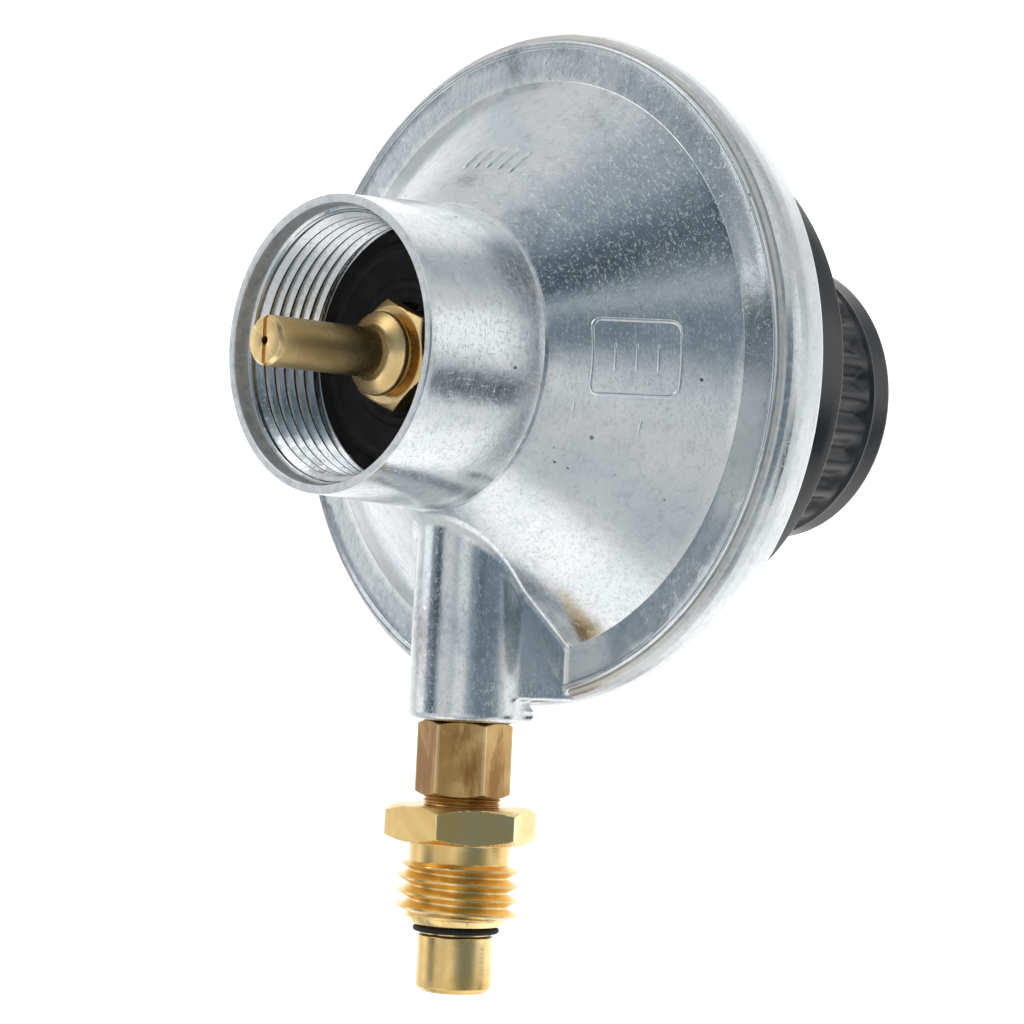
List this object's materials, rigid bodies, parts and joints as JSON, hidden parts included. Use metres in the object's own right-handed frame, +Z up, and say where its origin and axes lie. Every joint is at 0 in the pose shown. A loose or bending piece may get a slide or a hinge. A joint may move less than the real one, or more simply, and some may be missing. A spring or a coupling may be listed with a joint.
{
  "type": "gas regulator",
  "caption": "Low-pressure gas regulator: threaded inlet collar with brass probe, cone-shaped diaphragm body, ribbed adjusting knob and brass outlet fitting.",
  "frame": {"origin": "centre of the inlet collar's mouth, on the regulator's own axis", "axes": "+Y along the regulator axis from the inlet mouth to the knob, +Z up with the outlet fitting pointing to -Z, +X to the right seen from the inlet"},
  "size_m": [0.0664, 0.0731, 0.094],
  "materials": {
    "cast_zinc": "satin die-cast zinc alloy, mottled grey",
    "bonnet_zinc": "bright satin zinc alloy",
    "probe_brass": "satin turned brass",
    "outlet_brass": "bright turned brass",
    "tarnished_brass": "tarnished brass",
    "black_plastic": "satin black moulding",
    "black_rubber": "matt black rubber",
    "diaphragm_rubber": "matt reinforced rubber",
    "plated_steel": "zinc plated steel",
    "spring_steel": "drawn spring wire",
    "filter_bronze": "sintered bronze"
  },
  "bodies": {
    "regulator": {"body_casting": "cast_zinc", "bonnet": "bonnet_zinc", "rear_cover": "black_plastic", "stop_peg": "plated_steel", "stem_seal": "black_rubber", "diaphragm": "diaphragm_rubber", "main_spring": "spring_steel", "inlet_gasket": "black_rubber", "inlet_nipple": "probe_brass", "probe": "probe_brass", "inlet_filter": "filter_bronze", "poppet_spring": "spring_steel", "valve_seat": "probe_brass", "outlet_nipple": "tarnished_brass", "outlet_fitting": "outlet_brass", "outlet_jet": "outlet_brass", "outlet_o_ring": "black_rubber"},
    "knob_group": {"knob": "black_plastic", "knob_cap": "black_plastic", "adjusting_screw": "plated_steel", "retaining_screw": "plated_steel"},
    "follower": {"spring_follower": "plated_steel"},
    "diaphragm_centre": {"lower_plate": "plated_steel", "upper_plate": "plated_steel", "diaphragm_stem": "probe_brass", "stem_nut": "plated_steel"},
    "poppet": {"valve_poppet": "probe_brass", "poppet_seal": "black_rubber"}
  },
  "joints": [
    {"name": "knob_turn", "type": "hinge", "parent": "regulator", "child": "knob_group", "pos_m": [0, 0.055, -0.0003], "axis": [0, 1, 0], "range_deg": [0, 300]},
    {"name": "follower_slide", "type": "slide", "parent": "regulator", "child": "follower", "axis": [0, -1, 0], "range_m": [0, 0.0021], "deforming": ["main_spring"]},
    {"name": "diaphragm_stroke", "type": "slide", "parent": "regulator", "child": "diaphragm_centre", "axis": [0, -1, 0], "range_m": [0, 0.0009], "stiffness_N_per_m": 500, "deforming": ["diaphragm"]},
    {"name": "poppet_slide", "type": "slide", "parent": "regulator", "child": "poppet", "axis": [0, -1, 0], "range_m": [0, 0.00095], "deforming": ["poppet_spring"]}
  ],
  "couplings": [
    {"joint": "follower_slide", "follows": "knob_turn", "m_per_rad": 0.0004},
    {"joint": "poppet_slide", "follows": "diaphragm_stroke", "ratio": 1}
  ]
}
